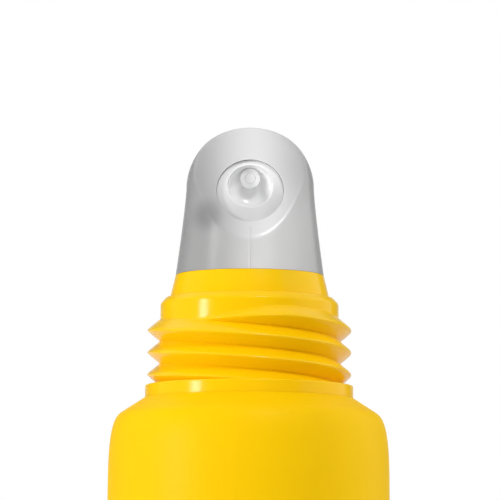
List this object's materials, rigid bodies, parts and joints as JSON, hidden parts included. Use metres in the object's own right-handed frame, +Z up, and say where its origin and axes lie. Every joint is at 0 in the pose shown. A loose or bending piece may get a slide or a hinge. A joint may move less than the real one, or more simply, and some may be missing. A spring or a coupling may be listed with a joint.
{
  "type": "lip balm tube",
  "caption": "Small plastic squeeze tube with a screw neck and a slanted soft tip that puts lip balm on through a recessed nozzle; the cap is off.",
  "frame": {"origin": "middle of the tail's lower edge, where the upright tube meets the surface under it", "axes": "+Z runs up the tube to the tip, the sealed tail's width lies along X, and the slanted face of the tip looks along -Y"},
  "size_m": [0.0294, 0.019, 0.0774],
  "materials": {
    "sleeve_plastic": "satin coloured polyethylene sleeve",
    "head_plastic": "glossy moulded polyethylene in the sleeve's colour",
    "tip_plastic": "frosted translucent soft plastic",
    "nozzle_plastic": "glossy natural plastic",
    "balm": "soft waxy balm"
  },
  "bodies": {
    "root": {"tube_sleeve": "sleeve_plastic", "tube_head": "head_plastic", "applicator_tip": "tip_plastic", "nozzle_insert": "nozzle_plastic", "balm_fill": "balm"}
  },
  "joints": []
}
